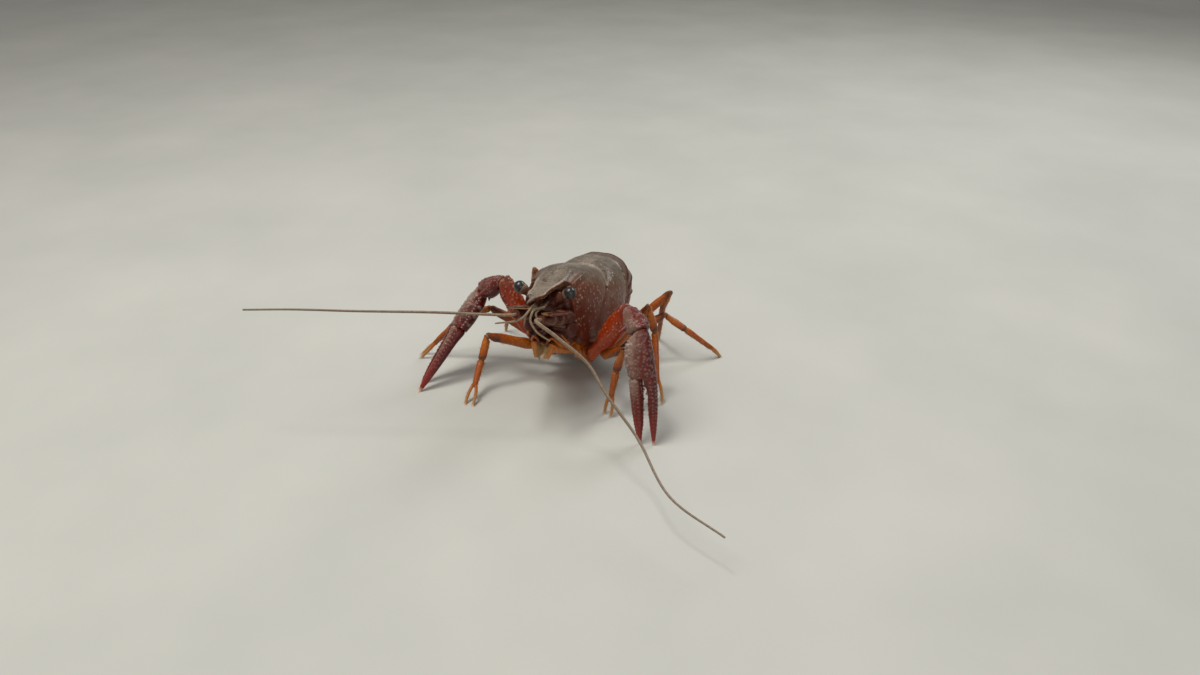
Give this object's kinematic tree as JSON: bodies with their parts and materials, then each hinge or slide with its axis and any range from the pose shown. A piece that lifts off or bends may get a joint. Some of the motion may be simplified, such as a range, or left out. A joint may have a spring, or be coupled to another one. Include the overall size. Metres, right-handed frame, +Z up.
{
  "type": "red swamp crayfish model",
  "caption": "Life-size still model of a crayfish standing on its legs and lowered claws, feelers spread, tail tucked under.",
  "frame": {"origin": "on the floor under the middle of the whole outline", "axes": "the animal faces -Y, its left side is +X and +Z is up"},
  "size_m": [0.0958, 0.0698, 0.0282],
  "materials": {
    "shell": "wet grey-brown shell",
    "cornea": "glossy black",
    "feeler": "beige-brown, satin",
    "leg": "wet amber",
    "claw": "wet dark red"
  },
  "bodies": {
    "root": {"abdomen1": "shell", "abdomen2": "shell", "abdomen3": "shell", "abdomen4": "shell", "abdomen5": "shell", "abdomen6": "shell", "antenna_base_left": "shell", "antenna_base_right": "shell", "antennule_left": "feeler", "antennule_right": "feeler", "arm_left": "claw", "arm_right": "claw", "belly": "leg", "carapace": "shell", "eye_left": "cornea", "eye_right": "cornea", "finger_left": "claw", "finger_right": "claw", "flagellum_base_left": "feeler", "flagellum_base_right": "feeler", "flagellum_tip_left": "feeler", "flagellum_tip_right": "feeler", "hand_leg2_left": "leg", "hand_leg2_right": "leg", "hand_leg3_left": "leg", "hand_leg3_right": "leg", "hand_leg4_left": "leg", "hand_leg4_right": "leg", "hand_leg5_left": "leg", "hand_leg5_right": "leg", "maxilliped_left": "leg", "maxilliped_right": "leg", "palm_left": "claw", "palm_right": "claw", "telson": "shell", "upper_leg2_left": "leg", "upper_leg2_right": "leg", "upper_leg3_left": "leg", "upper_leg3_right": "leg", "upper_leg4_left": "leg", "upper_leg4_right": "leg", "upper_leg5_left": "leg", "upper_leg5_right": "leg", "uropod_inner_left": "shell", "uropod_inner_right": "shell", "uropod_outer_left": "shell", "uropod_outer_right": "shell", "wrist_left": "claw", "wrist_leg2_left": "leg", "wrist_leg2_right": "leg", "wrist_leg3_left": "leg", "wrist_leg3_right": "leg", "wrist_leg4_left": "leg", "wrist_leg4_right": "leg", "wrist_leg5_left": "leg", "wrist_leg5_right": "leg", "wrist_right": "claw"}
  },
  "joints": []
}
